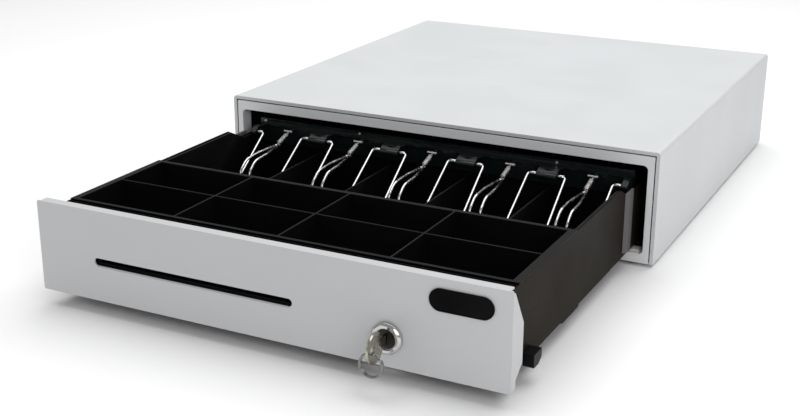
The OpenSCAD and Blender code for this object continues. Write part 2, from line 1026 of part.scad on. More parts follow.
module knuckle(i) {
    low = max(-bay_in + 0.3, clip_x(i - 1) + knuckle_x);
    high = min(bay_in - 0.3, clip_x(i) - knuckle_x);
    side_shape(low, high)
        union() {
            translate([pivot_y, pivot_z])
                circle(2.8);
            polygon([[pivot_y - 1.5, pivot_z + 2], [pivot_y, pivot_z - 2], [pivot_y + 3, pivot_z - 2],
                [rail_y[0] + 1, pivot_z + 1], [rail_y[0] + 1, rail_high - 0.5], [pivot_y + 4, rail_high - 0.5]]);
        }
}

// T-shaped hooks that hold the back ends of the clip springs
module spring_anchors() {
    color(bright_steel)
        slid_out()
            for (i = [0 : bay_count - 1])
                translate([clip_x(i), 0, 0]) {
                    rod_y(1.1, anchor_y, rail_y[0], 0, pivot_z + 1.6);
                    rod_x(1.6, -4.5, 4.5, anchor_y, pivot_z + 1.6);
                    wire([0, anchor_y - 2.6, pivot_z - 1.2], [0, anchor_y, pivot_z + 1.6], 0.85);
                }
}

// One bent wire: pivot stubs, two straight legs, and a raised hairpin between them
module note_clip(i) {
    foot_z = bay_floor + wire_r + 0.8;
    color(bright_steel)
        slid_out()
            translate([clip_x(i), 0, 0]) {
                both_sides() {
                    rod_x(wire_r, leg_x, stub_end, pivot_y, pivot_z);
                    rod_x(sleeve_r, leg_x + 1.2, knuckle_x - 0.4, pivot_y, pivot_z);
                    wire_path([[leg_x, pivot_y, pivot_z], [19, foot_y, foot_z], [5, foot_y - 0.5, foot_z],
                        [4.8, foot_y + 3.5, pivot_z - 27], [4.7, foot_y + 6.5, pivot_z - 17],
                        [4.6, foot_y + 16, pivot_z - 9.2], [4.5, foot_y + 36, pivot_z - 8],
                        [1.6, hairpin_y, hairpin_z]], wire_r);
                }
                rod_x(wire_r, -1.6, 1.6, hairpin_y, hairpin_z);
            }
}

// Spring between the hairpin's end and its anchor
module clip_spring(i) {
    back = [0, anchor_y - 3.2, pivot_z - 1.9];
    front = [0, hairpin_y + wire_r + 0.2, hairpin_z + 0.2];
    v = back - front;
    color(bright_steel)
        slid_out()
            translate([clip_x(i), 0, 0])
                translate(front)
                    rotate([0, acos(v[2] / norm(v)), atan2(v[1], v[0])])
                        difference() {
                            cylinder(d = clip_spring_d, h = norm(v) - 0.4);
                            translate([0, 0, -1])
                                cylinder(d = clip_spring_d - 1.8, h = norm(v) + 2);
                        }
}

module note_clip_1() { note_clip(0); }
module note_clip_2() { note_clip(1); }
module note_clip_3() { note_clip(2); }
module note_clip_4() { note_clip(3); }
module note_clip_5() { note_clip(4); }
module clip_spring_1() { clip_spring(0); }
module clip_spring_2() { clip_spring(1); }
module clip_spring_3() { clip_spring(2); }
module clip_spring_4() { clip_spring(3); }
module clip_spring_5() { clip_spring(4); }

module lock_body() {
    color(bright_steel)
        slid_out()
            difference() {
                union() {
                    rod_y(bezel_d / 2, -bezel_h + 1.5, 0, lock_x, lock_z);
                    translate([lock_x, -bezel_h, lock_z])
                        rotate([-90, 0, 0])
                            cylinder(r1 = bezel_d / 2 - 1.6, r2 = bezel_d / 2, h = 1.5);
                    rod_y(body_r, 0, body_back, lock_x, lock_z);
                }
                rod_y(plug_r + running, -bezel_h - 1, body_back + 1, lock_x, lock_z);
                rod_y(plug_r + 0.6, -bezel_h - 1, -bezel_h + 1.6, lock_x, lock_z);
            }
}

module lock_nut() {
    color(zinc)
        slid_out()
            difference() {
                translate([lock_x, 2 * sheet, lock_z])
                    rotate([-90, 30, 0])
                        cylinder(r = 13.4, h = 4, $fn = 6);
                rod_y(body_r + running, 0, 10, lock_x, lock_z);
            }
}

module lock_plug() {
    color(bright_steel)
        slid_out()
            difference() {
                union() {
                    rod_y(plug_r, -bezel_h + 1, body_back, lock_x, lock_z);
                    block([lock_x - 3, body_back - 0.01, lock_z - 3],
                        [lock_x + 3, body_back + 0.4 + cam_t, lock_z + 3]);
                }
                block([lock_x - blade_t / 2 - 0.2, -bezel_h - 1, lock_z - blade_h / 2 - 0.25],
                    [lock_x + blade_t / 2 + 0.2, body_back - 3.5, lock_z + blade_h / 2 + 0.25]);
                rod_y(1.55, body_back - 2.5, body_back + 5, lock_x, lock_z);
            }
}

module lock_cam() {
    color(zinc)
        slid_out()
            difference() {
                face_shape(body_back + 0.4, body_back + 0.4 + cam_t)
                    translate([lock_x, lock_z]) {
                        circle(6.5);
                        translate([-cam_len, -3.4])
                            square([cam_len, 6.8]);
                    }
                block([lock_x - 3.05, body_back, lock_z - 3.05], [lock_x + 3.05, body_back + 4, lock_z + 3.05]);
            }
}

module cam_screw() {
    color(bright_steel)
        slid_out() {
            rod_y(1.5, body_back - 2, body_back + 0.5 + cam_t, lock_x, lock_z);
            rod_y(4.2, body_back + 0.4 + cam_t, body_back + 2.6 + cam_t, lock_x, lock_z);
        }
}

module key() {
    color(brass)
        slid_out()
            difference() {
                union() {
                    side_shape(lock_x - blade_t / 2, lock_x + blade_t / 2)
                        polygon([[-11, lock_z - 3.7], [10, lock_z - 3.7], [11.7, lock_z - 1.5], [11.7, lock_z + 1.5],
                            [10, lock_z + 2], [8, lock_z + 3.2], [6, lock_z + 2.2], [4, lock_z + 3.4],
                            [2, lock_z + 2.4], [0, lock_z + 3.7], [-11, lock_z + 3.7]]);
                    rod_x(bow_r, lock_x - bow_t / 2, lock_x + bow_t / 2, bow_y, lock_z);
                }
                rod_x(hole_r, lock_x - 3, lock_x + 3, hole_y, lock_z);
            }
}

// Split ring: two turns of wire side by side
module key_ring() {
    color(bright_steel)
        slid_out()
            translate([lock_x, hole_y, ring_top_z - ring_r])
                rotate([90, 0, 0])
                    rotate_extrude()
                        for (turn = [-1, 1])
                            translate([ring_r, turn * 0.72])
                                circle(ring_wire_r);
}

top_cover();
chassis();
front_frame();
rear_panel();
rubber_feet();
cover_screws();
chassis_screws();
left_channel();
right_channel();
slide_stops();
glide_pads();
front_roller_left();
front_roller_right();
front_axles();
latch_bracket();
latch_lever();
latch_pin();
latch_spring();
solenoid_frame();
solenoid_coil();
solenoid_plunger();
ejector_guide();
ejector_pusher();
ejector_spring();
status_switch();
switch_button();
socket_board();
cable_socket();
drawer_pan();
front_panel();
drawer_screws();
badge();
slot_liner();
strike();
guide_blocks();
wall_stiffeners();
rear_roller_left();
rear_roller_right();
rear_axles();
till_tray();
coin_tray();
clip_rail();
spring_anchors();
note_clip_1();
note_clip_2();
note_clip_3();
note_clip_4();
note_clip_5();
clip_spring_1();
clip_spring_2();
clip_spring_3();
clip_spring_4();
clip_spring_5();
lock_body();
lock_nut();
lock_plug();
lock_cam();
cam_screw();
key();
key_ring();
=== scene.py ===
"""Looks of the cash drawer over the CAD frame: materials, softened edges, wires, springs and screws."""
import json
import math

import bpy
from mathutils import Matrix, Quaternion, Vector


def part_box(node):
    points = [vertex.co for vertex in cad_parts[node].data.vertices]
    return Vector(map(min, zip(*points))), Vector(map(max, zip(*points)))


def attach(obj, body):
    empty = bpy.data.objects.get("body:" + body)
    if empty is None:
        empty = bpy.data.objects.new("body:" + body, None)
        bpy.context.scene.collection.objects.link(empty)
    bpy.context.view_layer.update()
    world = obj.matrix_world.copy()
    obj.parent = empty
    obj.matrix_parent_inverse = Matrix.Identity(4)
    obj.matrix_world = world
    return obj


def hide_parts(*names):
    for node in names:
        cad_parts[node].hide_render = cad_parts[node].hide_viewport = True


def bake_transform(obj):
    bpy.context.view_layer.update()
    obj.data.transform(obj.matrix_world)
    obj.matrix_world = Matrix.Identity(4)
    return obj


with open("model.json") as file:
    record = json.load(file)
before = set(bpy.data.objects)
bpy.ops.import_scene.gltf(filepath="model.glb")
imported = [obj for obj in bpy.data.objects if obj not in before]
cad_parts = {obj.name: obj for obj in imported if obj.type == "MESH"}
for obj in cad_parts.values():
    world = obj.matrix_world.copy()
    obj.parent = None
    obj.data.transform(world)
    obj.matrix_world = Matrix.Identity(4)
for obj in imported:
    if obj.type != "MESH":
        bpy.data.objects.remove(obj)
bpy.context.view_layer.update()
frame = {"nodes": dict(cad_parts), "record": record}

MM = 0.001

# ---------------------------------------------------------------- camera and light
LENS = 57.7
AZIMUTH, ELEVATION, ROLL = math.radians(26.71), math.radians(19.287), math.radians(0.22)
CAMERA_FROM_FRONT = Vector((462.1, -977.3, 398.5)) * MM
AIM_OF_LIGHTS = Vector((0, 0, 0.05))
SURROUND_LIGHT = 0.37

cover_low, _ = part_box("top_cover")
front = Vector((0, cover_low.y, 0))

camera_data = bpy.data.cameras.new("camera")
camera_data.lens = LENS
camera = bpy.data.objects.new("camera", camera_data)
bpy.context.collection.objects.link(camera)
bpy.context.scene.camera = camera

level = math.cos(ELEVATION)
looking = Vector((-math.sin(AZIMUTH) * level, math.cos(AZIMUTH) * level, -math.sin(ELEVATION)))
camera.location = front + CAMERA_FROM_FRONT
camera.rotation_mode = "QUATERNION"
camera.rotation_quaternion = looking.to_track_quat("-Z", "Y") @ Quaternion((0, 0, 1), ROLL)


def soft_light(name, place, size, power):
    """A rectangular lamp aimed at the object. Place and size are in metres, power in watts."""
    data = bpy.data.lights.new(name, "AREA")
    data.shape, data.size, data.size_y, data.energy = "RECTANGLE", size[0], size[1], power
    lamp = bpy.data.objects.new(name, data)
    lamp.location = place
    lamp.rotation_mode = "QUATERNION"
    lamp.rotation_quaternion = (AIM_OF_LIGHTS - Vector(place)).to_track_quat("-Z", "Y")
    bpy.context.collection.objects.link(lamp)


soft_light("overhead", (0.0, 0.45, 1.9), (2.6, 2.4), 44)
soft_light("right_front", (1.1, -1.25, 0.75), (0.8, 0.8), 6)
soft_light("left_front", (-1.6, -1.8, 1.0), (1.4, 1.0), 2)

world = bpy.data.worlds.new("studio")
bpy.context.scene.world = world
world.use_nodes = True
world.node_tree.nodes["Background"].inputs["Color"].default_value = (1, 1, 1, 1)
world.node_tree.nodes["Background"].inputs["Strength"].default_value = SURROUND_LIGHT
bpy.context.scene.view_settings.view_transform = "Standard"


# ---------------------------------------------------------------- materials
class Paint:
    """Node chains that end in one Principled shader."""

    def __init__(self, name):
        self.material = bpy.data.materials.new(name)
        self.material.use_nodes = True
        self.tree = self.material.node_tree
        self.shader = self.tree.nodes["Principled BSDF"]
        self.place = self.tree.nodes.new("ShaderNodeTexCoord").outputs["Object"]

    def new(self, kind, **settings):
        made = self.tree.nodes.new("ShaderNode" + kind)
        for key, value in settings.items():
            setattr(made, key, value)
        return made

    def link(self, a, b):
        self.tree.links.new(a, b)

    def fixed(self, **sockets):
        for key, value in sockets.items():
            self.shader.inputs[key.replace("_", " ")].default_value = value

    def noise(self, scale, detail=3, stretch=None, rough=0.5):
        texture = self.new("TexNoise")
        texture.inputs["Scale"].default_value = scale
        texture.inputs["Detail"].default_value = detail
        texture.inputs["Roughness"].default_value = rough
        where = self.place
        if stretch:
            mapping = self.new("Mapping")
            mapping.inputs["Scale"].default_value = stretch
            self.link(where, mapping.inputs["Vector"])
            where = mapping.outputs["Vector"]
        self.link(where, texture.inputs["Vector"])
        return texture.outputs["Fac"]

    def ramp(self, value, low, high, start=0.35, end=0.65):
        made = self.new("MapRange")
        made.inputs["From Min"].default_value, made.inputs["From Max"].default_value = start, end
        made.inputs["To Min"].default_value, made.inputs["To Max"].default_value = low, high
        self.link(value, made.inputs["Value"])
        return made.outputs["Result"]

    def mix(self, factor, a, b):
        made = self.new("Mix", data_type="RGBA")
        for socket, value in ((made.inputs["A"], a), (made.inputs["B"], b)):
            if isinstance(value, tuple):
                socket.default_value = (*value, 1)
            else:
                self.link(value, socket)
        self.link(factor, made.inputs["Factor"])
        return made.outputs["Result"]

    def colour(self, value):
        self.link(value, self.shader.inputs["Base Color"])

    def roughness(self, value):
        self.link(value, self.shader.inputs["Roughness"])

    def bump(self, *layers):
        """Each layer is (height, depth in metres). They add up."""
        below = None
        for height, depth in layers:
            made = self.new("Bump")
            made.inputs["Strength"].default_value = 1
            made.inputs["Distance"].default_value = depth
            self.link(height, made.inputs["Height"])
            if below is not None:
                self.link(below, made.inputs["Normal"])
            below = made.outputs["Normal"]
        self.link(below, self.shader.inputs["Normal"])

    def worn_edges(self, amount):
        """A mask along the sharp edges, broken up by noise."""
        rounded = self.new("Bevel", samples=4)
        rounded.inputs["Radius"].default_value = 0.7 * MM
        agree = self.new("VectorMath", operation="DOT_PRODUCT")
        self.link(rounded.outputs["Normal"], agree.inputs[0])
        self.link(self.new("NewGeometry").outputs["Normal"], agree.inputs[1])
        sharp = self.ramp(agree.outputs["Value"], amount, 0, 0.9, 0.99)
        both = self.new("Math", operation="MULTIPLY")
        self.link(sharp, both.inputs[0])
        self.link(self.ramp(self.noise(90, 4), 0.2, 1), both.inputs[1])
        return both.outputs[0]


def powder_coat(name, colour, rough=0.42, texture=0.00002, edge=0.25, shine=0.5):
    """Baked paint on sheet steel: a fine orange peel, faint dust and slightly thin paint on the edges."""
    p = Paint(name)
    darker = tuple(c * 0.985 for c in colour)
    dusty = p.mix(p.ramp(p.noise(9, 4), 0, 1), colour, darker)
    thin = tuple(c * 0.8 for c in colour)
    p.colour(p.mix(p.worn_edges(edge), dusty, thin))
    p.roughness(p.ramp(p.noise(14, 5), rough - 0.05, rough + 0.07))
    p.bump((p.noise(700, 2), texture), (p.noise(2600, 1), texture * 0.3))
    p.fixed(Specular_IOR_Level=shine)
    return p.material


def moulded(name, colour, rough=0.5, shine=0.3):
    """Moulded plastic: spark-eroded texture, light scuffs and handling shine."""
    texture, scratch = 0.00001, 0.000004
    p = Paint(name)
    scuffed = tuple(min(1, c * 1.6 + 0.004) for c in colour)
    scuffs = p.ramp(p.noise(60, 6, (1, 14, 3), 0.7), 0, 0.5, 0.58, 0.75)
    p.colour(p.mix(scuffs, colour, scuffed))
    p.roughness(p.ramp(p.noise(11, 5), rough - 0.07, rough + 0.09))
    p.bump((p.noise(1500, 2), texture), (p.noise(260, 3, (1, 22, 4)), scratch))
    p.fixed(Specular_IOR_Level=shine)
    return p.material


def metal(name, colour, rough=0.3, grain=(1, 30, 1), depth=0.000004, dull=0.25):
    """Bare or plated metal with a drawn grain, stains and brighter worn edges."""
    grain_scale = 180
    p = Paint(name)
    stained = tuple(c * (1 - dull) for c in colour)
    tone = p.mix(p.ramp(p.noise(35, 6), 0, 1, 0.4, 0.7), colour, stained)
    bright = tuple(min(1, c * 1.15) for c in colour)
    p.colour(p.mix(p.worn_edges(0.6), tone, bright))
    p.roughness(p.ramp(p.noise(grain_scale, 5, grain), rough - 0.08, rough + 0.1))
    p.bump((p.noise(grain_scale * 2, 3, grain), depth))
    p.fixed(Metallic=1.0)
    return p.material


def spangled(name, colour):
    """Zinc-plated sheet: small crystals, each at its own brightness."""
    p = Paint(name)
    cells = p.new("TexVoronoi")
    cells.inputs["Scale"].default_value = 160
    p.link(p.place, cells.inputs["Vector"])
    grey = p.new("RGBToBW")
    p.link(cells.outputs["Color"], grey.inputs["Color"])
    darker = tuple(c * 0.8 for c in colour)
    p.colour(p.mix(grey.outputs["Val"], colour, darker))
    p.roughness(p.ramp(grey.outputs["Val"], 0.32, 0.5, 0, 1))
    p.bump((p.noise(420, 4), 0.000006))
    p.fixed(Metallic=1.0)
    return p.material


def rubber(name, colour):
    """Dusty rubber with a fine grain."""
    p = Paint(name)
    dusty = tuple(c + 0.05 for c in colour)
    p.colour(p.mix(p.ramp(p.noise(45, 6), 0, 0.6), colour, dusty))
    p.roughness(p.ramp(p.noise(300, 3), 0.7, 0.9))
    p.bump((p.noise(900, 3), 0.00003))
    return p.material


def glossy(name, colour):
    """Polished plastic with hairline swirls and a little haze."""
    rough, shine = 0.16, 0.03
    p = Paint(name)
    hazy = tuple(c + 0.004 for c in colour)
    p.colour(p.mix(p.ramp(p.noise(25, 4), 0, 1), colour, hazy))
    p.roughness(p.ramp(p.noise(120, 6, (1, 1, 9)), rough, rough + 0.08))
    p.bump((p.noise(380, 2, (1, 1, 14)), 0.0000015))
    p.fixed(Specular_IOR_Level=shine)
    return p.material


def winding(name):
    """Enamelled copper wire wound on the coil: one ridge for each turn along X, darker in the grooves as
    painted shade and lighter on the crests as a painted highlight.
    """
    p = Paint(name)
    turns = p.new("TexWave", wave_type="BANDS", bands_direction="X")
    turns.inputs["Scale"].default_value = 620
    turns.inputs["Distortion"].default_value = 0.4
    p.link(p.place, turns.inputs["Vector"])
    # Dark bands in the grooves are painted shade; bright bands on the crests are a painted highlight.
    p.colour(p.mix(turns.outputs["Fac"], (0.16, 0.045, 0.018), (0.5, 0.17, 0.06)))
    p.roughness(p.ramp(p.noise(200, 3), 0.22, 0.36))
    p.bump((turns.outputs["Fac"], 0.00025))
    p.fixed(Metallic=0.6, Coat_Weight=0.5)
    return p.material


def circuit_board(name):
    """Solder mask with raised tracks under it."""
    p = Paint(name)
    tracks = p.new("TexBrick", offset=0.37, squash=1.6)
    tracks.inputs["Scale"].default_value = 260
    tracks.inputs["Mortar Size"].default_value = 0.03
    p.link(p.place, tracks.inputs["Vector"])
    p.colour(p.mix(tracks.outputs["Fac"], (0.015, 0.12, 0.05), (0.03, 0.2, 0.08)))
    p.roughness(p.ramp(p.noise(80, 3), 0.25, 0.4))
    p.bump((tracks.outputs["Fac"], 0.00004))
    return p.material


cover_white = powder_coat("cover_white", (0.645, 0.665, 0.675), 0.45)
# The frame has the cover's white paint; its copy is lighter as painted light against the shade in its recess
# behind the drawer.
frame_white_painted_light = powder_coat("frame_white_painted_light", (0.78, 0.79, 0.80), 0.45)
# The panel has the cover's white paint; its copy is darker as painted shade on the drawer's front face.
panel_white_painted_shade = powder_coat("panel_white_painted_shade", (0.555, 0.56, 0.57), 0.42)
# Black paint whose warm brown tint is a painted reflection of the warm room in the glossy drawer wall.
pan_black_warm_reflection = powder_coat("pan_black_warm_reflection", (0.014, 0.0105, 0.0065), 0.3, 0.000008, 0.1, 0.012)
# The stiffener's grey is a painted reflection: a lighter band on the black drawer wall where it reflects the
# frame bar.
stiffener_grey_painted_reflection = powder_coat("stiffener_grey_painted_reflection", (0.10, 0.095, 0.10), 0.35, 0.000008, 0.1, 0.4)
# Near-black paint on the chassis and channels, as painted shade for the dark inside of the housing.
inner_black_painted_shade = powder_coat("inner_black_painted_shade", (0.012, 0.012, 0.012), 0.5, 0.000012, 0.1, 0.1)
tray_black = moulded("tray_black", (0.004, 0.004, 0.004), 0.38, shine=0.1)
rail_black = moulded("rail_black", (0.006, 0.010, 0.010), 0.24, shine=0.45)
nylon_black = moulded("nylon_black", (0.006, 0.006, 0.006), 0.42, shine=0.1)
nylon_white = moulded("nylon_white", (0.72, 0.70, 0.64), 0.4)
button_red = moulded("button_red", (0.35, 0.02, 0.02), 0.35)
socket_black = moulded("socket_black", (0.02, 0.02, 0.02), 0.35)
wire_bright = metal("wire_bright", (0.60, 0.60, 0.60), 0.2, (1, 1, 1), 0.000002, 0.2)
spring_steel = metal("spring_steel", (0.62, 0.62, 0.61), 0.24, (1, 1, 1), 0.000002, 0.3)
turned_steel = metal("turned_steel", (0.66, 0.66, 0.65), 0.24, (30, 1, 1))
screw_zinc = metal("screw_zinc", (0.72, 0.72, 0.70), 0.26, (1, 1, 1), 0.000004)
lock_chrome = metal("lock_chrome", (0.62, 0.62, 0.61), 0.12, (1, 1, 1), 0.000002, 0.12)
# The lock plug's dark metal is painted shade and painted dark reflection in the recessed core.
lock_core_painted_shade = metal("lock_core_painted_shade", (0.055, 0.052, 0.048), 0.3, (1, 1, 1), 0.000012, 0.5)
# The ring's steel is darker than the other steel as painted dark reflections on the chrome wire.
ring_steel_dark_reflection = metal("ring_steel_dark_reflection", (0.34, 0.34, 0.33), 0.14, (1, 1, 1), 0.000002, 0.45)
key_nickel = metal("key_nickel", (0.50, 0.47, 0.40), 0.25, (1, 1, 12), 0.000005)
zinc_sheet = spangled("zinc_sheet", (0.62, 0.63, 0.62))
foot_rubber = rubber("foot_rubber", (0.02, 0.02, 0.02))
badge_black = glossy("badge_black", (0.003, 0.003, 0.003))
coil_copper = winding("coil_copper")
board_green = circuit_board("board_green")

SLOT_LOOKS = {
    "cover_paint": cover_white, "frame_paint": frame_white_painted_light, "panel_paint": panel_white_painted_shade,
    "pan_paint": pan_black_warm_reflection, "inner_paint": inner_black_painted_shade, "stiffener_paint": stiffener_grey_painted_reflection,
    "tray_plastic": tray_black, "rail_plastic": rail_black,
    "black_nylon": nylon_black, "white_nylon": nylon_white, "button_plastic": button_red,
    "socket_plastic": socket_black, "clip_wire": wire_bright, "spring_wire": spring_steel,
    "polished_pin": turned_steel, "screw_zinc": screw_zinc, "lock_chrome": lock_chrome,
    "key_nickel": key_nickel, "zinc_sheet": zinc_sheet, "foot_rubber": foot_rubber,
    "badge_gloss": badge_black, "coil_wrap": coil_copper, "circuit_board": board_green,
}

node_slot = {part["node"]: part["material_slot"] for part in frame["record"]["subparts"]}
body_of_node = {}
for body, nodes in frame["record"]["behaviour"]["bodies"].items():
    for name in nodes:
        body_of_node[name] = body


# ---------------------------------------------------------------- softened CAD nodes
def soften(obj, width):
    """Rounds the sharp edges of a CAD solid with modifiers only, so its own mesh stays as it was."""
    weld = obj.modifiers.new("weld", "WELD")
    weld.merge_threshold = 0.01 * MM
    flat = obj.modifiers.new("flat", "DECIMATE")
    flat.decimate_type, flat.angle_limit = "DISSOLVE", math.radians(0.5)
    bevel = obj.modifiers.new("bevel", "BEVEL")
    bevel.width, bevel.segments, bevel.limit_method = width, 2, "ANGLE"
    bevel.angle_limit = math.radians(32)
    bevel.use_clamp_overlap = True
    bevel.harden_normals = True


# Widths of the rounded edges, in millimetres
OTHER_EDGES = 0.2
EDGE = {"top_cover": 0.5, "front_frame": 0.5, "front_panel": 0.6, "rubber_feet": 0.8, "badge": 0.25,
        "till_tray": 0.5, "coin_tray": 0.45, "guide_blocks": 0.6, "clip_rail": 0.5, "lock_body": 0.3,
        "key": 0.25, "lock_nut": 0.4, "switch_button": 0.4}
# The lock plug takes the darkened metal: painted shade and dark reflection.
OWN_LOOKS = {"lock_plug": lock_core_painted_shade}
for name, obj in frame["nodes"].items():
    obj.data.materials.clear()
    obj.data.materials.append(OWN_LOOKS.get(name, SLOT_LOOKS[node_slot[name]]))
    soften(obj, EDGE.get(name, OTHER_EDGES) * MM)


# ---------------------------------------------------------------- making pieces
def finish_piece(name, mesh, look, body, nodes, slot):
    """Adds a smooth mesh as a piece."""
    obj = bpy.data.objects.new(name, mesh)
    bpy.context.collection.objects.link(obj)
    mesh.materials.append(look)
    for face in mesh.polygons:
        face.use_smooth = True
    if body:
        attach(obj, body)
    if nodes:
        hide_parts(*nodes)
    return obj


def rounded_path(points, radii):
    """The points of a bent wire: each corner becomes an arc of its own radius."""
    steps = 8
    path = [points[0]]
    for before, corner, after, radius in zip(points, points[1:], points[2:], radii):
        to_before, to_after = (before - corner).normalized(), (after - corner).normalized()
        half = to_before.angle(to_after) / 2
        cut = min(radius / math.tan(half), (before - corner).length * 0.48, (after - corner).length * 0.48)
        centre = corner + (to_before + to_after).normalized() * (cut / math.cos(half))
        start, end = corner + to_before * cut - centre, corner + to_after * cut - centre
        turn = start.rotation_difference(end)
        for i in range(steps + 1):
            path.append(centre + Quaternion().slerp(turn, i / steps) @ start)
    path.append(points[-1])
    return path


def tube(path, radius, sides=14):
    """(vertices, faces) of a round bar swept along the path with no twist, with low domes on its ends."""
    dome = 0.3
    last = len(path) - 1
    ahead = [(path[min(i + 1, last)] - path[max(i - 1, 0)]).normalized() for i in range(len(path))]
    across = ahead[0].orthogonal().normalized()
    vertices, faces = [], []
    for i, centre in enumerate(path):
        if i:
            across = ahead[i - 1].rotation_difference(ahead[i]) @ across
            across = (across - ahead[i] * across.dot(ahead[i])).normalized()
        other = ahead[i].cross(across)
        for k in range(sides):
            angle = 2 * math.pi * k / sides
            vertices.append(centre + (across * math.cos(angle) + other * math.sin(angle)) * radius)
    for i in range(last):
        a, b = i * sides, (i + 1) * sides
        for k in range(sides):
            n = (k + 1) % sides
            faces.append((a + k, a + n, b + n, b + k))
    for ring, tip, flip in ((0, path[0] - ahead[0] * radius * dome, True),
                            (last, path[-1] + ahead[-1] * radius * dome, False)):
        vertices.append(tip)
        for k in range(sides):
            n = (k + 1) % sides
            ends = (ring * sides + n, ring * sides + k) if flip else (ring * sides + k, ring * sides + n)
            faces.append((*ends, len(vertices) - 1))
    return vertices, faces


def joined(parts):
    """One mesh from several (vertices, faces) pairs."""
    vertices, faces = [], []
    for v, f in parts:
        faces += [tuple(i + len(vertices) for i in face) for face in f]
        vertices += v
    mesh = bpy.data.meshes.new("part")
    mesh.from_pydata([tuple(v) for v in vertices], [], faces)
    mesh.validate()
    return mesh


def coil_path(start, end, radius, turns, per_turn=18):
    """Centres of a helical spring's wire between two points."""
    axis = (end - start).normalized()
    side = axis.orthogonal().normalized()
    if abs(axis.z) < 0.95:
        side = Vector((0, 0, 1)) - axis * axis.z
        side.normalize()
    up = axis.cross(side)
    steps = int(turns * per_turn)
    path = []
    for i in range(steps + 1):
        angle = 2 * math.pi * i / per_turn
        path.append(start.lerp(end, i / steps) + (side * math.cos(angle) + up * math.sin(angle)) * radius)
    return path


def look_of(node):
    """What finish_piece needs to stand in for one CAD node: its look, body, nodes and slot."""
    return SLOT_LOOKS[node_slot[node]], body_of_node[node], [node], node_slot[node]


# ---------------------------------------------------------------- note clips and their springs
CLIPS = 5
CLIP_WIRE_R = 1.2 * MM
# Millimetres across the clip
LEG_X = 20.5
SLEEVE_START, SLEEVE_LENGTH, SLEEVE_R = 21.7, 6.1, 1.82
# Millimetres behind and above the clip's hinge line
HAIRPIN = (-10.5, -7)
ANCHOR = (8.4, -1.2)
CLIP_COIL_R, CLIP_COIL_WIRE_R, CLIP_COIL_TURNS = 2.15 * MM, 0.5 * MM, 11


def note_clip(number):
    """The bent wire of one note clip with its two sleeves, and the spring from its hairpin to the anchor.

    Places are in millimetres across, behind and above the middle of the clip's hinge line.
    """
    low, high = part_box(f"note_clip_{number}")
    middle, end_x = (low.x + high.x) / 2, (high.x - low.x) / 2 / MM
    pivot = Vector((middle, high.y - CLIP_WIRE_R, high.z - CLIP_WIRE_R))
    drop = (low.z + CLIP_WIRE_R - pivot.z) / MM
    reach = (low.y + CLIP_WIRE_R - pivot.y) / MM

    def at(x, back, up):
        return pivot + Vector((x, back, up)) * MM

    side = [at(-end_x, 0, 0), at(-LEG_X, 0, 0), at(-19, reach + 0.5, drop), at(-5, reach, drop),
            at(-4.8, reach + 4, -27), at(-4.7, reach + 7, -17), at(-4.6, reach + 16.5, -9.2),
            at(-4.5, reach + 36.5, -8), at(-1.6, *HAIRPIN)]
    other = [Vector((2 * middle - p.x, p.y, p.z)) for p in reversed(side)]
    bends = [2.6, 3, 3, 9, 9, 14, 30, 1.5]
    wire = rounded_path(side + other, [bend * MM for bend in bends + bends[::-1]])
    sleeves = [tube([at(x, 0, 0), at(x + SLEEVE_LENGTH, 0, 0)], SLEEVE_R * MM)
               for x in (-SLEEVE_START - SLEEVE_LENGTH, SLEEVE_START)]
    clip = joined([tube(wire, CLIP_WIRE_R)] + sleeves)
    finish_piece(f"clip_wire_{number}", clip, *look_of(f"note_clip_{number}"))

    front_end, back_end = at(0, *HAIRPIN), at(0, *ANCHOR)
    first, final = front_end.lerp(back_end, 0.16), front_end.lerp(back_end, 0.9)
    coils = coil_path(first, final, CLIP_COIL_R, CLIP_COIL_TURNS)
    hooked = [front_end + Vector((0, 0.8, 0)) * MM] + coils + [back_end]
    look, body, nodes, slot = look_of(f"clip_spring_{number}")
    coil = joined([tube(hooked, CLIP_COIL_WIRE_R, 8)])
    spring = finish_piece(f"clip_coil_{number}", coil, look, None, nodes, slot)
    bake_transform(spring)


for number in range(1, CLIPS + 1):
    note_clip(number)

# ---------------------------------------------------------------- latch and ejector springs
low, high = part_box("latch_spring")
middle = (low + high) / 2
start, end = Vector((low.x, middle.y, middle.z)), Vector((high.x, middle.y, middle.z))
coil_r, coil_wire_r, turns = 2.1 * MM, 0.38 * MM, 22
coils = coil_path(start.lerp(end, 0.1), start.lerp(end, 0.9), coil_r, turns)
coil = joined([tube([start] + coils + [end], coil_wire_r, 8)])
spring = finish_piece("latch_coil", coil, spring_steel, None, ["latch_spring"], "spring_wire")
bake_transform(spring)

low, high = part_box("ejector_spring")
middle = (low + high) / 2
start, end = Vector((middle.x, low.y, middle.z)), Vector((middle.x, high.y, middle.z))
coil_r, coil_wire_r, turns = 5.8 * MM, 0.78 * MM, 9
inset = Vector((0, 0.8 * MM, 0))
coils = coil_path(start + inset, end - inset, coil_r, turns, 24)
coil = joined([tube(coils, coil_wire_r, 10)])
spring = finish_piece("ejector_coil", coil, spring_steel, None, ["ejector_spring"], "spring_wire")
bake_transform(spring)

# ---------------------------------------------------------------- contacts in the cable socket
CONTACTS, CONTACT_PITCH, CONTACT_R = 6, 1.02, 0.22 * MM
low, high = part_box("cable_socket")
middle, port_floor = (low.x + high.x) / 2, low.z + 3.4 * MM
contacts = []
for number in range(CONTACTS):
    x = middle + (number - (CONTACTS - 1) / 2) * CONTACT_PITCH * MM
    bent = [(x, high.y - 2 * MM, port_floor + 0.4 * MM), (x, high.y - 4 * MM, port_floor + 0.5 * MM),
            (x, high.y - 12 * MM, port_floor + 3 * MM)]
    contacts.append(tube([Vector(p) for p in bent], CONTACT_R, 8))
finish_piece("socket_contacts", joined(contacts), spring_steel, "housing", [], "spring_wire")

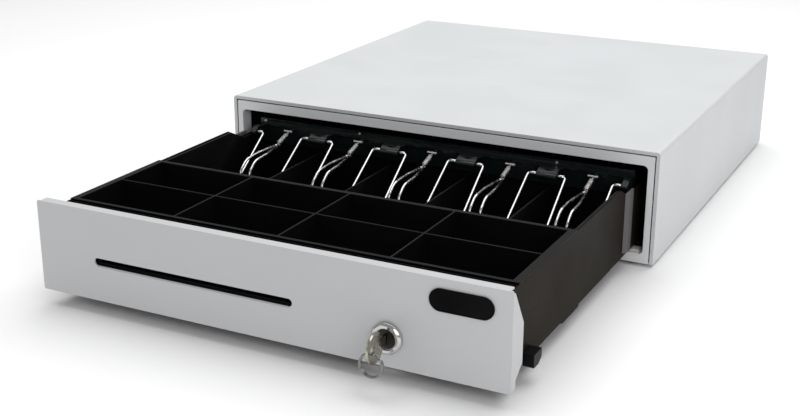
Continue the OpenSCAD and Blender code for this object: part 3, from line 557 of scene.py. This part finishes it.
# ---------------------------------------------------------------- split key ring
low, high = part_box("key_ring")
centre = (low + high) / 2
apart = 0.72 * MM
wire_r = (high.y - low.y) / 2 - apart
ring_r = (high.x - low.x) / 2 - wire_r
ring_steps = 128
# Angles in radians: each free end's gap, half of the stretch where the wire crosses over, where the ends lie
end_gap, half_cross, ends_at = 0.3, 0.26, 0.9
path = []
for i in range(ring_steps + 1):
    angle = end_gap + (4 * math.pi - 2 * end_gap) * i / ring_steps
    cross = max(0, min(1, (angle - 2 * math.pi + half_cross) / (2 * half_cross)))
    side = (cross * cross * (3 - 2 * cross) * 2 - 1) * apart
    around = angle + ends_at
    path.append(centre + Vector((math.cos(around) * ring_r, side, math.sin(around) * ring_r)))
finish_piece("split_ring", joined([tube(path, wire_r * 0.97, 12)]), ring_steel_dark_reflection, "ring", ["key_ring"],
             node_slot["key_ring"])


# ---------------------------------------------------------------- screws with a cross recess
# Shares of the head's radius and height
RECESS_ARM, RECESS_HALF = 0.56, 0.15
RECESS_TAPER, RECESS_FLOOR = 0.6, 0.42
HEAD_PROFILE = ((0.76, 1), (0.92, 0.82), (1, 0.5), (1, 0))
# Shares of one turn and of the shank's radius
THREAD_PROFILE = ((0.1, 0.8), (0.6, 1.0))
TIP_TAPER = 0.6
THREAD_PITCH = 0.8 * MM


def islands(node):
    """World positions of each separate solid of a CAD node."""
    obj = frame["nodes"][node]
    spots, owner = [], {}
    for v in obj.data.vertices:
        spots.append(tuple(round(c, 5) for c in obj.matrix_world @ v.co))
        owner.setdefault(spots[-1], spots[-1])

    def root(p):
        while owner[p] != p:
            owner[p] = owner[owner[p]]
            p = owner[p]
        return p

    for edge in obj.data.edges:
        owner[root(spots[edge.vertices[0]])] = root(spots[edge.vertices[1]])
    groups = {}
    for p in owner:
        groups.setdefault(root(p), []).append(Vector(p))
    return list(groups.values())


def screw(points):
    """(vertices, faces) of a cross-recessed screw with a threaded shank, in the place of one CAD screw."""
    low = Vector([min(p[k] for p in points) for k in range(3)])
    high = Vector([max(p[k] for p in points) for k in range(3)])
    size, middle = high - low, (low + high) / 2
    axis = min(range(3), key=lambda k: abs(size[(k + 1) % 3] - size[(k + 2) % 3]))
    b, c = (axis + 1) % 3, (axis + 2) % 3

    def off(p):
        return math.hypot(p[b] - middle[b], p[c] - middle[c])

    head_r = max(off(p) for p in points)
    head = [p[axis] for p in points if off(p) > 0.95 * head_r]
    out = 1 if sum(head) / len(head) > middle[axis] else -1
    top = high[axis] if out > 0 else low[axis]
    tip = low[axis] if out > 0 else high[axis]
    base = min(head) if out > 0 else max(head)
    head_h, length = abs(top - base), abs(base - tip)
    shank = max(off(p) for p in points if abs(p[axis] - tip) < 0.1 * MM)
    arm, half = RECESS_ARM, RECESS_HALF
    mid = (arm + half) / 2
    quarter = [(arm, 0), (arm, half), (mid, half), (half, half), (half, mid), (half, arm)]
    outline = []
    for turn in range(4):
        for x, y in quarter:
            for _ in range(turn):
                x, y = -y, x
            outline.append((x, y))
    around = [(x / math.hypot(x, y), y / math.hypot(x, y)) for x, y in outline]
    floor_r = head_r * RECESS_TAPER
    rings = [([(x * floor_r, y * floor_r) for x, y in outline], head_h * RECESS_FLOOR),
             ([(x * head_r, y * head_r) for x, y in outline], head_h)]
    for wide, tall in HEAD_PROFILE:
        rings.append(([(x * wide * head_r, y * wide * head_r) for x, y in around], tall * head_h))
    turns = max(1, int(length / THREAD_PITCH))
    for i in range(turns):
        for part, wide in THREAD_PROFILE:
            depth = length * (i + part) / turns
            rings.append(([(x * shank * wide, y * shank * wide) for x, y in around], -depth))
    rings.append(([(x * shank * TIP_TAPER, y * shank * TIP_TAPER) for x, y in around], -length))

    def place(x, y, h):
        spot = [0, 0, 0]
        spot[axis] = base + out * h
        spot[b], spot[c] = middle[b] + x, middle[c] + y * out
        return Vector(spot)

    vertices = [place(x, y, h) for ring, h in rings for x, y in ring]
    count = len(outline)
    faces = []
    for k in range(len(rings) - 1):
        for i in range(count):
            n = (i + 1) % count
            faces.append((k * count + i, k * count + n, (k + 1) * count + n, (k + 1) * count + i)[::-1])
    vertices += [place(0, 0, rings[0][1]), place(0, 0, rings[-1][1])]
    last = (len(rings) - 1) * count
    for i in range(count):
        n = (i + 1) % count
        faces.append((i, n, len(vertices) - 2))
        faces.append((last + n, last + i, len(vertices) - 1))
    return vertices, faces


for node in ("cover_screws", "chassis_screws", "drawer_screws", "cam_screw"):
    crossed = joined([screw(points) for points in islands(node)])
    screws = finish_piece(node + "_cross", crossed, *look_of(node))
    edges = screws.modifiers.new("edges", "EDGE_SPLIT")
    edges.split_angle = math.radians(35)

# ---------------------------------------------------------------- floor
HALF_FLOOR = 6.0
floor_mesh = bpy.data.meshes.new("floor")
corners = [(x * HALF_FLOOR, y * HALF_FLOOR, 0) for x, y in ((-1, -1), (1, -1), (1, 1), (-1, 1))]
floor_mesh.from_pydata(corners, [], [(0, 1, 2, 3)])
floor = bpy.data.objects.new("floor", floor_mesh)
bpy.context.collection.objects.link(floor)
paper = Paint("paper")
paper.colour(paper.mix(paper.noise(4, 3), (0.93, 0.93, 0.93), (0.95, 0.95, 0.95)))
paper.fixed(Roughness=0.9)
floor_mesh.materials.append(paper.material)
